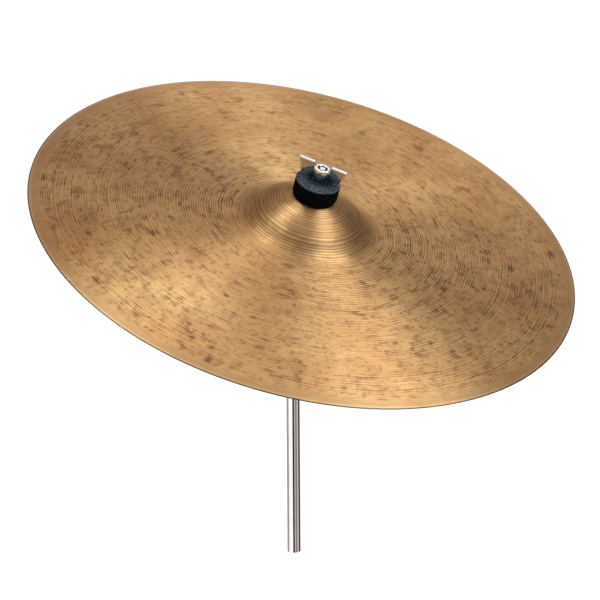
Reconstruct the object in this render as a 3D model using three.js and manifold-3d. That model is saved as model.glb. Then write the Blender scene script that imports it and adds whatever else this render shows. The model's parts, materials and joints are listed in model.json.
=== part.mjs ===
// A 20 inch crash cymbal on its felts, rod, friction tilter and upper stand tube.
// Millimetres, +Z up. The origin is the centre of the tube's lower end, where a stand base clamps it.
// The tilter turns about an axis along X. The cymbal leans towards -Y, its player's side.
import * as THREE from "three";
import { mergeVertices } from "three/addons/utils/BufferGeometryUtils.js";
import Module from "manifold-3d";

// ---- Driving dimensions ----
const GAP = 0.3; // left between faces that touch
const LEAN_DEG = 22; // lean of the rod from upright
const PIVOT_HEIGHT = 285; // tilter axis above the tube's lower end
const ROD_OFFSET = 9; // the rod stands beside the tube, in the tilter head's plane

const CYMBAL_RADIUS = 254;
const CYMBAL_RISE = 50; // rim to crown
const CROWN_HEIGHT = 61.5; // crown above the tilter axis, along the rod
const BOW_RISE = 21; // rim to where the bow would reach on the axis
const BELL_RADIUS = 71; // of the sphere that the bell is part of
const BELL_FILLET = 26; // where the bell runs out into the bow
const CROWN_THICKNESS = 1.4;
const RIM_THICKNESS = 0.9;
const CYMBAL_HOLE = 6.25; // radius

const ROD_RADIUS = 4; // M8
const ROD_TIP = 90.2; // above the tilter axis
const SLEEVE_RADIUS = 5;
const FELT_RADIUS = 20;
const UPPER_FELT_TOP = 76.6; // above the tilter axis
const LOWER_FELT_HEIGHT = 13; // at its middle

const TUBE_RADIUS = 6;
const TUBE_WALL = 1;
const TUBE_TOP = PIVOT_HEIGHT - 27;
const EAR_RADIUS = 14; // of the tilter's two friction discs
const BOLT_RADIUS = 4;
const HEX_FLATS = 13; // across the flats of an M8 nut or bolt head

const SEGMENTS = { cymbal: 64, large: 32, small: 20 };

// ---- Solids ----
const wasm = await Module();
wasm.setup();

// A profile of [radius, height] pairs turned about Z. It starts and ends on the axis, or is closed by ring().
function turned(profile, segments) {
  const points = profile.map(([radius, height]) => new THREE.Vector2(radius, height));
  return new THREE.LatheGeometry(points, segments).rotateX(Math.PI / 2);
}

function ring(profile, segments) {
  return turned([...profile, profile[0]], segments);
}

function cylinder(radius, bottom, top, segments) {
  return new THREE.CylinderGeometry(radius, radius, top - bottom, segments)
    .rotateX(Math.PI / 2)
    .translate(0, 0, (top + bottom) / 2);
}

// A six-sided prism about Z, with two of its flats facing along Y.
function hexPrism(flats, bottom, top) {
  return cylinder(flats / Math.sqrt(3), bottom, top, 6).rotateZ(Math.PI / 6);
}

// An outline in the XY plane, made solid from z = bottom to z = top.
function plate(shape, bottom, top, curveSegments = 12) {
  const options = { depth: top - bottom, bevelEnabled: false, curveSegments };
  return new THREE.ExtrudeGeometry(shape, options).translate(0, 0, bottom);
}

function solid(geometry) {
  const bare = geometry.index ? geometry.toNonIndexed() : geometry.clone();
  bare.deleteAttribute("normal");
  bare.deleteAttribute("uv");
  const merged = mergeVertices(bare, 1e-3);
  return new wasm.Manifold(
    new wasm.Mesh({
      numProp: 3,
      vertProperties: merged.attributes.position.array,
      triVerts: new Uint32Array(merged.index.array),
    }),
  );
}

function geometryOf(manifold) {
  const mesh = manifold.getMesh();
  return new THREE.BufferGeometry()
    .setAttribute("position", new THREE.BufferAttribute(mesh.vertProperties, 3))
    .setIndex(new THREE.BufferAttribute(mesh.triVerts, 1));
}

// The first geometry with the others joined to it, less the holes.
function joined(geometries, holes = []) {
  const [first, ...rest] = geometries.map(solid);
  const body = rest.reduce((sum, piece) => sum.add(piece), first);
  return geometryOf(holes.map(solid).reduce((left, hole) => left.subtract(hole), body));
}

// ---- Materials ----
function finish(color, roughness, metalness) {
  return () => new THREE.MeshStandardMaterial({ color, roughness, metalness });
}

const bronze = finish(0xa87d4e, 0.38, 1);
const chrome = finish(0xd6d6d8, 0.12, 1);
const zinc = finish(0xa9abae, 0.35, 1);
const castMetal = finish(0xb9bbbe, 0.28, 1);
const felt = finish(0x17181b, 0.95, 0);
const nylon = finish(0x202124, 0.5, 0);
const fibre = finish(0x4a3528, 0.8, 0);

function part(name, geometry, material) {
  const mesh = new THREE.Mesh(geometry, material());
  mesh.name = name;
  return mesh;
}

// ---- Cymbal ----
// Heights here are above the rim plane. The bow and the bell are spheres about the axis,
// joined by a hollow fillet that touches both.
const bowRadius = (CYMBAL_RADIUS ** 2 + BOW_RISE ** 2) / (2 * BOW_RISE);
const bow = { centre: BOW_RISE - bowRadius, radius: bowRadius };
const bell = { centre: CYMBAL_RISE - BELL_RADIUS, radius: BELL_RADIUS };
const fillet = tangentFillet();

function tangentFillet() {
  const toBow = bow.radius + BELL_FILLET;
  const toBell = bell.radius + BELL_FILLET;
  const apart = bell.centre - bow.centre;
  const along = (toBow ** 2 - toBell ** 2 + apart ** 2) / (2 * apart);
  const out = Math.sqrt(toBow ** 2 - along ** 2);
  return {
    out,
    height: bow.centre + along,
    bellEnd: (out * bell.radius) / toBell,
    bowStart: (out * bow.radius) / toBow,
  };
}

// Height of the cymbal's upper surface at a radius.
function upperSurface(radius) {
  if (radius <= fillet.bellEnd) return bell.centre + Math.sqrt(bell.radius ** 2 - radius ** 2);
  if (radius < fillet.bowStart)
    return fillet.height - Math.sqrt(BELL_FILLET ** 2 - (radius - fillet.out) ** 2);
  return bow.centre + Math.sqrt(bow.radius ** 2 - radius ** 2);
}

function thickness(radius) {
  return THREE.MathUtils.lerp(CROWN_THICKNESS, RIM_THICKNESS, radius / CYMBAL_RADIUS);
}

// Height of the lower surface, one thickness away at right angles to the upper one.
function lowerSurface(radius) {
  const step = 0.05;
  const slope = (upperSurface(radius + step) - upperSurface(radius - step)) / (2 * step);
  return upperSurface(radius) - thickness(radius) * Math.hypot(1, slope);
}

function evenly(from, to, count) {
  return Array.from({ length: count + 1 }, (_, i) => from + ((to - from) * i) / count);
}

function cymbal() {
  const radii = [
    ...evenly(CYMBAL_HOLE, fillet.bellEnd, 6),
    ...evenly(fillet.bellEnd, fillet.bowStart, 4).slice(1),
    ...evenly(fillet.bowStart, CYMBAL_RADIUS - 0.4, 7).slice(1),
  ];
  const over = radii.map((radius) => [radius, upperSurface(radius)]);
  const under = radii.map((radius) => [radius, lowerSurface(radius)]);
  const rim = [CYMBAL_RADIUS, upperSurface(CYMBAL_RADIUS) - RIM_THICKNESS / 2];
  return ring([...under, rim, ...over.reverse()], SEGMENTS.cymbal).translate(0, 0, CROWN_HEIGHT - CYMBAL_RISE);
}

// ---- Felts, sleeve and seat, about the rod's axis ----
const rimHeight = CROWN_HEIGHT - CYMBAL_RISE;

// The felts take the bell's shape where they press on it.
function upperFelt() {
  const bottom = evenly(SLEEVE_RADIUS + GAP, FELT_RADIUS, 5)
    .map((radius) => [radius, rimHeight + upperSurface(radius) + GAP]);
  const side = [[FELT_RADIUS + 0.3, UPPER_FELT_TOP - 8], [FELT_RADIUS - 0.2, UPPER_FELT_TOP - 1]];
  const top = [[FELT_RADIUS - 1, UPPER_FELT_TOP], [SLEEVE_RADIUS + GAP, UPPER_FELT_TOP]];
  return ring([...bottom, ...side, ...top], SEGMENTS.large);
}

const lowerFeltBottom = rimHeight + lowerSurface(CYMBAL_HOLE) - GAP - LOWER_FELT_HEIGHT;

function lowerFelt() {
  const top = evenly(SLEEVE_RADIUS + GAP, FELT_RADIUS, 5)
    .map((radius) => [radius, rimHeight + lowerSurface(radius) - GAP]);
  const bottom = [[SLEEVE_RADIUS + GAP, lowerFeltBottom], [FELT_RADIUS, lowerFeltBottom]];
  return ring([...bottom, ...top.reverse()], SEGMENTS.large);
}

const SEAT_WASHER = { radius: 19, thickness: 1.8 };
const seatWasherBottom = lowerFeltBottom - GAP - SEAT_WASHER.thickness;

// A pressed steel washer with its edge turned down over the seat's flange.
function seatWasher() {
  const { radius, thickness: sheet } = SEAT_WASHER;
  const top = lowerFeltBottom - GAP;
  const hole = SLEEVE_RADIUS + GAP;
  return ring([
    [hole, seatWasherBottom], [radius - sheet - 0.4, seatWasherBottom],
    [radius - sheet, top - 4], [radius, top - 4], [radius, top - 0.8],
    [radius - 0.8, top], [hole, top],
  ], SEGMENTS.large);
}

const SEAT = { flange: 16.5, flangeHeight: 2.6, hub: 8.5, height: 9 };
const seatTop = seatWasherBottom - GAP;
const seatBottom = seatTop - SEAT.height;

// The moulded seat screws on to the rod, and carries the washer.
function cymbalSeat() {
  const bore = ROD_RADIUS + GAP;
  return ring([
    [bore, seatBottom], [SEAT.hub - 0.6, seatBottom], [SEAT.hub, seatBottom + 0.6],
    [SEAT.hub, seatTop - SEAT.flangeHeight - 1], [SEAT.hub + 1, seatTop - SEAT.flangeHeight],
    [SEAT.flange, seatTop - SEAT.flangeHeight], [SEAT.flange, seatTop], [bore, seatTop],
  ], SEGMENTS.large);
}

function rodSleeve() {
  const bore = ROD_RADIUS + GAP;
  const bottom = seatTop + GAP;
  const top = UPPER_FELT_TOP - 2;
  return ring([
    [bore, bottom], [SLEEVE_RADIUS, bottom], [SLEEVE_RADIUS, top - 0.5],
    [SLEEVE_RADIUS - 0.3, top], [bore, top],
  ], SEGMENTS.small);
}

// ---- Rod and its lock nut ----
const HEAD_TOP = 25; // of the tilter head's neck, above the tilter axis
const ROD_SEAT = HEAD_TOP - 11; // the rod's lower end, inside the neck
const LOCK_WASHER = { radius: 7.2, thickness: 1.8 };
const LOCK_NUT_HEIGHT = 6.5;

const lockNutBottom = HEAD_TOP + LOCK_WASHER.thickness + 2 * GAP;

function cymbalRod() {
  const chamfer = 1.2;
  return turned([
    [0, ROD_SEAT + GAP], [ROD_RADIUS - 0.6, ROD_SEAT + GAP], [ROD_RADIUS, ROD_SEAT + 1],
    [ROD_RADIUS, ROD_TIP - chamfer], [ROD_RADIUS - chamfer, ROD_TIP], [0, ROD_TIP],
  ], SEGMENTS.small);
}

// A spring washer, split on one side.
function lockWasher() {
  const bottom = HEAD_TOP + GAP;
  const top = bottom + LOCK_WASHER.thickness;
  const bore = ROD_RADIUS + GAP;
  const whole = ring([[bore, bottom], [LOCK_WASHER.radius, bottom], [LOCK_WASHER.radius, top], [bore, top]],
    SEGMENTS.small);
  const split = new THREE.BoxGeometry(8, 1.2, 6).rotateX(Math.PI / 5).translate(-8, 0, (bottom + top) / 2);
  return joined([whole], [split]);
}

// A chamfered hexagon nut with its lower face at z = bottom.
function hexNut(bottom, height, bore) {
  const corner = HEX_FLATS / Math.sqrt(3);
  const chamfers = turned([
    [0, bottom], [HEX_FLATS / 2 - 0.1, bottom], [corner + 0.1, bottom + 0.8],
    [corner + 0.1, bottom + height - 0.8], [HEX_FLATS / 2 - 0.1, bottom + height], [0, bottom + height],
  ], SEGMENTS.small);
  const prism = solid(hexPrism(HEX_FLATS, bottom, bottom + height)).intersect(solid(chamfers));
  return geometryOf(prism.subtract(solid(cylinder(bore, bottom - 1, bottom + height + 1, SEGMENTS.small))));
}

// ---- Wing nut, standing on z = 0 with its wings along X ----
const WING_NUT = {
  base: 8.2, waist: 7.1, boss: 12.2, wingTop: 16.5, wingInner: 7.8, wingOuter: 23.3, wingFoot: 18.5, thickness: 3.8,
};

// One wing: its outer edge leans out, and a notch parts it from the boss at the top.
function wingOutline({ wingTop, wingInner, wingOuter, wingFoot, boss }) {
  const foot = 0.8;
  const corner = 1.4;
  const root = ROD_RADIUS + 1;
  const shape = new THREE.Shape();
  shape.moveTo(root, foot);
  shape.lineTo(wingFoot - corner, foot);
  shape.quadraticCurveTo(wingFoot, foot, wingFoot + 0.5, foot + corner);
  shape.lineTo(wingOuter - 0.4, wingTop - corner);
  shape.quadraticCurveTo(wingOuter, wingTop, wingOuter - corner, wingTop);
  shape.lineTo(wingInner + corner, wingTop);
  shape.quadraticCurveTo(wingInner, wingTop, wingInner - 0.1, wingTop - corner);
  shape.lineTo(wingInner - 0.6, boss - 1.2);
  shape.lineTo(root, boss - 1.6);
  return shape;
}

function wingNut(size) {
  const { base, waist, boss, thickness: wing } = size;
  const barrel = turned([[0, 0], [base, 0], [base, 1.4], [waist, 2.6], [waist, 9], [0, 9]], SEGMENTS.large);
  const hexagon = solid(hexPrism(HEX_FLATS, 4, boss))
    .intersect(solid(turned([
      [0, 4], [HEX_FLATS, 4], [HEX_FLATS, boss - 1.4], [HEX_FLATS / 2 - 0.2, boss], [0, boss],
    ], SEGMENTS.small)));
  const right = plate(wingOutline(size), -wing / 2, wing / 2, 6).rotateX(Math.PI / 2);
  const left = right.clone().rotateZ(Math.PI);
  const bore = turned([
    [0, -1], [ROD_RADIUS + GAP, -1], [ROD_RADIUS + GAP, boss - 0.6],
    [ROD_RADIUS + GAP + 0.9, boss + 0.3], [0, boss + 0.3],
  ], SEGMENTS.small);
  return joined([geometryOf(hexagon), barrel, right, left], [bore]);
}

const NUT_WASHER = { radius: 8.2, thickness: 1.2 };

// The washer under the top wing nut. It is crowned, so that its edge presses into the felt.
function nutWasher() {
  const { radius, thickness: sheet } = NUT_WASHER;
  const hole = ROD_RADIUS + GAP + 0.3;
  return ring([
    [hole, 0], [radius - 0.4, 0], [radius, 0.4], [radius - 0.4, 0.8], [radius - 2.5, sheet], [hole, sheet],
  ], SEGMENTS.large);
}

// ---- Tilter. Its two castings face each other across a fibre disc, on a bolt along X ----
const BASE_EAR = { from: -4.5, to: 4.2 };
const DISC = { from: BASE_EAR.to + GAP, to: BASE_EAR.to + GAP + 1.2 };
const HEAD_EAR = { from: DISC.to + GAP, to: 14 };
const NECK_RADIUS = 7.2;
const SPIGOT_RADIUS = TUBE_RADIUS - TUBE_WALL - 0.15;
const SPIGOT_LENGTH = 24;
const COLLAR_RADIUS = 8;
const PIN_RADIUS = 1.5;
const PIN_DROP = 10; // the cross pin below the tube's top
const BOLT_HEAD = { depth: 4, height: 5.3 };

// Turns a geometry made about Z so that its axis lies along X.
function alongX(geometry) {
  return geometry.rotateY(Math.PI / 2);
}

// The tube's top, measured from the tilter axis.
const tubeTop = TUBE_TOP - PIVOT_HEIGHT;

function upperTube() {
  const inner = TUBE_RADIUS - TUBE_WALL;
  const edge = 0.3;
  const wall = ring([
    [inner, 0], [TUBE_RADIUS - edge, 0], [TUBE_RADIUS, edge],
    [TUBE_RADIUS, TUBE_TOP - edge], [TUBE_RADIUS - edge, TUBE_TOP], [inner, TUBE_TOP],
  ], SEGMENTS.large);
  return joined([wall], [crossPin(TUBE_RADIUS + 2, PIN_RADIUS + 0.15).translate(0, 0, PIVOT_HEIGHT)]);
}

function crossPin(reach, radius) {
  return cylinder(radius, -reach, reach, SEGMENTS.small)
    .rotateX(Math.PI / 2)
    .translate(0, 0, tubeTop - PIN_DROP);
}

// An ear seen from +X: a disc about the tilter axis on a stem that widens to the collar below.
function baseEarOutline() {
  const shape = new THREE.Shape();
  const waist = 5.6;
  const meet = Math.asin(waist / EAR_RADIUS);
  shape.moveTo(-COLLAR_RADIUS + 0.6, tubeTop + 2);
  shape.lineTo(COLLAR_RADIUS - 0.6, tubeTop + 2);
  shape.quadraticCurveTo(waist, tubeTop + 6, waist, -EAR_RADIUS * Math.cos(meet));
  shape.absarc(0, 0, EAR_RADIUS, -Math.PI / 2 + meet, (3 * Math.PI) / 2 - meet, false);
  shape.quadraticCurveTo(-waist, tubeTop + 6, -COLLAR_RADIUS + 0.6, tubeTop + 2);
  return shape;
}

// Stands an outline drawn in (Y, Z) up across X.
function acrossX(shape, from, to) {
  return plate(shape, from, to, 12)
    .rotateX(Math.PI / 2)
    .rotateZ(Math.PI / 2);
}

function tilterBase() {
  const ear = acrossX(baseEarOutline(), BASE_EAR.from, BASE_EAR.to);
  const stem = turned([
    [0, tubeTop - SPIGOT_LENGTH], [SPIGOT_RADIUS - 0.6, tubeTop - SPIGOT_LENGTH],
    [SPIGOT_RADIUS, tubeTop - SPIGOT_LENGTH + 0.6], [SPIGOT_RADIUS, tubeTop + GAP],
    [COLLAR_RADIUS - 0.5, tubeTop + GAP], [COLLAR_RADIUS, tubeTop + 0.8],
    [COLLAR_RADIUS, tubeTop + 3.4], [COLLAR_RADIUS - 2.6, tubeTop + 7], [0, tubeTop + 7],
  ], SEGMENTS.large);
  const boltHole = alongX(cylinder(BOLT_RADIUS + GAP, -20, 20, SEGMENTS.small));
  const pocket = alongX(hexPrism(HEX_FLATS + 2 * GAP, BASE_EAR.from - 5, BASE_EAR.from + BOLT_HEAD.depth));
  return joined([ear, stem], [boltHole, pocket, crossPin(20, PIN_RADIUS + 0.15)]);
}

function frictionDisc() {
  const inner = BOLT_RADIUS + 1;
  const outer = EAR_RADIUS - 1;
  return alongX(ring([
    [inner, DISC.from], [outer, DISC.from], [outer, DISC.to], [inner, DISC.to],
  ], SEGMENTS.large));
}

// The head's ear widens upwards into a round neck about the rod.
function headEarOutline() {
  const shape = new THREE.Shape();
  const shoulder = NECK_RADIUS - 0.6;
  const meet = Math.asin(shoulder / EAR_RADIUS);
  shape.absarc(0, 0, EAR_RADIUS, Math.PI / 2 + meet, Math.PI / 2 - meet + 2 * Math.PI, false);
  shape.lineTo(shoulder, HEAD_TOP - 6);
  shape.lineTo(-shoulder, HEAD_TOP - 6);
  return shape;
}

function tilterHead() {
  const ear = acrossX(headEarOutline(), HEAD_EAR.from, HEAD_EAR.to);
  const neckFoot = EAR_RADIUS + 0.6;
  const neck = turned([
    [0, neckFoot], [NECK_RADIUS - 1, neckFoot], [NECK_RADIUS, neckFoot + 1],
    [NECK_RADIUS, HEAD_TOP - 1.2], [NECK_RADIUS - 1.2, HEAD_TOP], [0, HEAD_TOP],
  ], SEGMENTS.large).translate(ROD_OFFSET, 0, 0);
  const boltHole = alongX(cylinder(BOLT_RADIUS + GAP, 0, 20, SEGMENTS.small));
  const rodHole = cylinder(ROD_RADIUS + GAP, ROD_SEAT, HEAD_TOP + 1, SEGMENTS.small).translate(ROD_OFFSET, 0, 0);
  return joined([ear, neck], [boltHole, rodHole]);
}

const CLAMP_WASHER = { radius: 9.5, thickness: 1.6 };
const SPRING_WASHER = { radius: 8, free: 2.2 };
const clampWasherFrom = HEAD_EAR.to + GAP;
const springWasherFrom = clampWasherFrom + CLAMP_WASHER.thickness + GAP;
const clampNutFrom = springWasherFrom + SPRING_WASHER.free + GAP;
const CLAMP_NUT = { ...WING_NUT, boss: 12, wingTop: 15.5, wingOuter: 21, wingFoot: 15.5 };

function clampWasher() {
  const hole = BOLT_RADIUS + GAP + 0.1;
  const { radius, thickness: sheet } = CLAMP_WASHER;
  return alongX(ring([[hole, 0], [radius, 0], [radius, sheet], [hole, sheet]], SEGMENTS.large))
    .translate(clampWasherFrom, 0, 0);
}

// A conical spring washer: its inner edge stands off from its outer edge.
function springWasher() {
  const hole = BOLT_RADIUS + GAP + 0.1;
  const sheet = 1.1;
  const { radius, free } = SPRING_WASHER;
  return alongX(ring([[hole, free - sheet], [radius, 0], [radius, sheet], [hole, free]], SEGMENTS.large))
    .translate(springWasherFrom, 0, 0);
}

function pivotBolt() {
  const headFrom = BASE_EAR.from + BOLT_HEAD.depth - GAP - BOLT_HEAD.height;
  const headTo = BASE_EAR.from + BOLT_HEAD.depth - GAP;
  const end = clampNutFrom + CLAMP_NUT.boss + 1.5;
  const hexagon = solid(hexPrism(HEX_FLATS, headFrom, headTo)).intersect(solid(turned([
    [0, headFrom], [HEX_FLATS / 2 - 0.2, headFrom], [HEX_FLATS / 2 + 1.2, headFrom + 0.8],
    [HEX_FLATS / 2 + 1.2, headTo], [0, headTo],
  ], SEGMENTS.small)));
  const shank = turned([
    [0, headTo - 1], [BOLT_RADIUS, headTo - 1], [BOLT_RADIUS, end - 1], [BOLT_RADIUS - 1, end], [0, end],
  ], SEGMENTS.small);
  return alongX(joined([geometryOf(hexagon), shank]));
}

// ---- Assembly ----
const assembly = new THREE.Group();

// Everything that stays with the tube.
assembly.add(part("upper_tube", upperTube(), chrome));
const pivot = new THREE.Group();
pivot.position.z = PIVOT_HEIGHT;
assembly.add(pivot);
pivot.add(
  part("tilter_base", tilterBase(), castMetal),
  part("tube_pin", crossPin(TUBE_RADIUS + 0.4, PIN_RADIUS), zinc),
  part("friction_disc", frictionDisc(), fibre),
  part("pivot_bolt", pivotBolt(), zinc),
  part("clamp_washer", clampWasher(), zinc),
  part("spring_washer", springWasher(), zinc),
);
const clampNut = part("clamp_wing_nut", alongX(wingNut(CLAMP_NUT)), chrome);
clampNut.position.x = clampNutFrom;
clampNut.rotation.x = THREE.MathUtils.degToRad(-30);
pivot.add(clampNut);

// Everything that tilts: the head, and on the rod's axis the seat, felts, cymbal and nut.
const leaning = new THREE.Group();
leaning.rotation.x = THREE.MathUtils.degToRad(LEAN_DEG);
pivot.add(leaning);
leaning.add(part("tilter_head", tilterHead(), castMetal));

const rodAxis = new THREE.Group();
rodAxis.position.x = ROD_OFFSET;
leaning.add(rodAxis);
rodAxis.add(
  part("cymbal_rod", cymbalRod(), zinc),
  part("rod_lock_washer", lockWasher(), zinc),
  part("rod_lock_nut", hexNut(lockNutBottom, LOCK_NUT_HEIGHT, ROD_RADIUS + GAP), zinc),
  part("cymbal_seat", cymbalSeat(), nylon),
  part("seat_washer", seatWasher(), zinc),
  part("rod_sleeve", rodSleeve(), nylon),
  part("lower_felt", lowerFelt(), felt),
  part("cymbal", cymbal(), bronze),
  part("upper_felt", upperFelt(), felt),
);

const nutWasherMesh = part("nut_washer", nutWasher(), chrome);
nutWasherMesh.position.z = UPPER_FELT_TOP + GAP;
const topNut = part("wing_nut", wingNut(WING_NUT), chrome);
topNut.position.z = UPPER_FELT_TOP + GAP + NUT_WASHER.thickness + GAP;
topNut.rotation.z = THREE.MathUtils.degToRad(-55.5);
rodAxis.add(nutWasherMesh, topNut);

export default assembly;
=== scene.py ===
import json
import math

import bmesh
import bpy
import numpy as np
from mathutils import Matrix, Vector, noise


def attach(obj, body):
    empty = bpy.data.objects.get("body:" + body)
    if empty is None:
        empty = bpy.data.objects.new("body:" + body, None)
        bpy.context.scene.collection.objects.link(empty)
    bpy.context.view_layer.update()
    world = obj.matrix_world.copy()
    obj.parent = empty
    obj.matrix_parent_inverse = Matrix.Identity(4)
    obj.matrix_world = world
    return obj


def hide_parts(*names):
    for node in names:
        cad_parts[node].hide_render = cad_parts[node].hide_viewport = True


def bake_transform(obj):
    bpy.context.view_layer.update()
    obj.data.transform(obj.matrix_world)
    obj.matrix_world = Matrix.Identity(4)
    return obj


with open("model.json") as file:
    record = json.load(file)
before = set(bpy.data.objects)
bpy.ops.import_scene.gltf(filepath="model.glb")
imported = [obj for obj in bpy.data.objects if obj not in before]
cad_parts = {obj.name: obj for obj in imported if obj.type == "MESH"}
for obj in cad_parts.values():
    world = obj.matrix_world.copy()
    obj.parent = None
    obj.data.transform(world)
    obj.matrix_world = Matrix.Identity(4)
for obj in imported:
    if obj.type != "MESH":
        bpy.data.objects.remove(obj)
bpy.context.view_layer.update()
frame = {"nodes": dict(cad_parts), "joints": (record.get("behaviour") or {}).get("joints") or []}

# A hammered bronze crash cymbal on its felts, rod, tilter and chrome stand tube.
# Shapes are written in millimetres, and MM turns them into the frame's metres.
MM = 0.001

# ---- Places, from the frame's own joints ----
joints = {joint["name"]: joint for joint in frame["joints"]}
PIVOT = Vector(joints["tilter_tilt"]["pos_m"])
ROD_DIRECTION = Vector(joints["cymbal_spin"]["axis"])
ROD_X = joints["cymbal_spin"]["pos_m"][0]
LEAN = math.atan2(-ROD_DIRECTION.y, ROD_DIRECTION.z)

TUBE = Matrix.Identity(4)
AT_PIVOT = Matrix.Translation(PIVOT)
# Z along the tilter's bolt, from the tilter's middle.
BOLT = AT_PIVOT @ Matrix.Rotation(math.pi / 2, 4, "Y")
# Z along the rod, from the tilter's axis.
HEAD = AT_PIVOT @ Matrix.Rotation(LEAN, 4, "X")
ROD = HEAD @ Matrix.Translation((ROD_X, 0, 0))

# ---- Sizes, in millimetres. Heights on the rod are measured from the tilter's axis ----
CYMBAL_RADIUS = 254
CYMBAL_RISE = 50
CROWN_HEIGHT = 61.5
RIM_HEIGHT = CROWN_HEIGHT - CYMBAL_RISE
BOW_RISE = 21
BELL_RADIUS = 71
BELL_FILLET = 26
CROWN_THICKNESS = 1.4
RIM_THICKNESS = 0.9
CYMBAL_HOLE = 6.25

ROD_RADIUS = 4
ROD_FOOT = 14.3
ROD_TIP = 90.2
PITCH = 1.25
GAP = 0.3
SLEEVE_RADIUS = 5
FELT_RADIUS = 20
UPPER_FELT_TOP = 76.6
LOWER_FELT_HEIGHT = 13
SEAT_WASHER_RADIUS = 19
SEAT_WASHER_SHEET = 1.8
TUBE_RADIUS = 6
TUBE_WALL = 1
TUBE_TOP = 258
WING_NUT_TURN = math.radians(-55.5)
CLAMP_NUT_TURN = math.radians(-30)


# ---- Meshes ----
def new_object(name, mesh, place):
    piece = bpy.data.objects.new(name, mesh)
    bpy.context.scene.collection.objects.link(piece)
    piece.matrix_world = place
    mesh.shade_smooth()
    return piece


def remeshed(piece, voxel, smoothing):
    """Joins overlapping closed shapes into one skin, and rounds its edges and inner corners."""
    remesh = piece.modifiers.new("remesh", "REMESH")
    remesh.mode = "VOXEL"
    remesh.voxel_size = voxel * MM
    smooth = piece.modifiers.new("smooth", "SMOOTH")
    smooth.iterations = smoothing
    bpy.context.view_layer.update()
    evaluated = piece.evaluated_get(bpy.context.evaluated_depsgraph_get())
    final = bpy.data.meshes.new_from_object(evaluated)
    piece.modifiers.clear()
    piece.data = final
    final.materials.clear()
    final.shade_smooth()
    return piece


def grid_mesh(name, rings, closed):
    """A surface of rings of points, each an array of (x, y, z) in millimetres. A closed one joins its
    last ring to its first. An open one ends in a point at each end."""
    count, around = len(rings), len(rings[0])
    points = np.concatenate(rings) * MM
    index = np.arange(count * around).reshape(count, around)
    following = np.roll(index, -1, axis=1)
    last = count if closed else count - 1
    quads = [
        np.stack([index[i], following[i], following[(i + 1) % count], index[(i + 1) % count]], 1)
        for i in range(last)
    ]
    faces = [tuple(int(v) for v in quad) for quad in np.concatenate(quads)]
    if not closed:
        for ring in (0, count - 1):
            points = np.vstack([points, points[index[ring]].mean(0)])
            centre = len(points) - 1
            faces += [(int(a), int(b), centre) for a, b in zip(index[ring], following[ring])]
    mesh = bpy.data.meshes.new(name)
    mesh.from_pydata([tuple(p) for p in points], [], faces)
    made = bmesh.new()
    made.from_mesh(mesh)
    bmesh.ops.recalc_face_normals(made, faces=made.faces)
    made.to_mesh(mesh)
    made.free()
    return mesh


def ring_of(spread, height, angles):
    """The points of one ring, whose radius at each angle is in spread."""
    return np.stack([spread * np.cos(angles), spread * np.sin(angles), np.full(len(angles), height)], 1)


def turned(name, profile, place, segments=96, closed=True, warp=None):
    """A profile of (radius, height) points turned about Z. warp changes the radius at each point."""
    angles = np.linspace(0, 2 * math.pi, segments, endpoint=False)
    rings = []
    for radius, height in profile:
        spread = np.full(segments, float(radius))
        if warp:
            spread = warp(spread, height, angles)
        rings.append(ring_of(spread, height, angles))
    return new_object(name, grid_mesh(name, rings, closed), place)


def rounded(corners, radius, closed=True, steps=4):
    """The outline with each corner rounded off, and with a short straight at each end of the round,
    which keeps the flats' shading flat. An open outline keeps its two ends."""
    most_of_side = 0.4
    straight = 0.2
    points = [Vector(corner) for corner in corners]
    outline = []
    for i, corner in enumerate(points):
        if not closed and i in (0, len(points) - 1):
            outline.append(tuple(corner))
            continue
        before, after = points[i - 1], points[(i + 1) % len(points)]
        back, onward = before - corner, after - corner
        reach = min(radius, most_of_side * back.length, most_of_side * onward.length)
        start = corner + back.normalized() * reach
        end = corner + onward.normalized() * reach
        outline.append(tuple(start + back.normalized() * reach * straight))
        for step in range(steps + 1):
            t = step / steps
            outline.append(tuple(start * (1 - t) ** 2 + corner * 2 * t * (1 - t) + end * t ** 2))
        outline.append(tuple(end + onward.normalized() * reach * straight))
    return outline


def threaded(name, radius, foot, tip, chamfer, place):
    """A rod with a screw thread cut along it, and both ends chamfered."""
    around = 32
    rings_per_turn = 8
    depth = 0.55
    angles = np.linspace(0, 2 * math.pi, around, endpoint=False)
    rings = []
    for height in np.arange(foot, tip + 1e-6, PITCH / rings_per_turn):
        turn = (height / PITCH - angles / (2 * math.pi)) % 1
        crest = np.clip(2.2 * (1 - np.abs(2 * turn - 1)) - 0.25, 0, 1)
        cut = radius - depth * (1 - crest)
        end = radius - chamfer + min(height - foot, tip - height)
        rings.append(ring_of(np.minimum(cut, end), height, angles))
    # A second ring just inside each end keeps the flat end's shading flat.
    inner = 0.93
    rings = [rings[0] * (inner, inner, 1)] + rings + [rings[-1] * (inner, inner, 1)]
    return new_object(name, grid_mesh(name, rings, closed=False), place)


def softened(node, place, voxel, smoothing):
    """A copy of a CAD piece with its edges and inner corners rounded as a casting's are. place is a
    frame whose axes lie along the piece's flats."""
    source = frame["nodes"][node]
    mesh = source.data.copy()
    mesh.transform(place.inverted() @ source.matrix_world)
    welded = bmesh.new()
    welded.from_mesh(mesh)
    bmesh.ops.remove_doubles(welded, verts=welded.verts, dist=1e-6)
    welded.to_mesh(mesh)
    welded.free()
    return remeshed(new_object(f"{node}_finished", mesh, place), voxel, smoothing)


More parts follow.
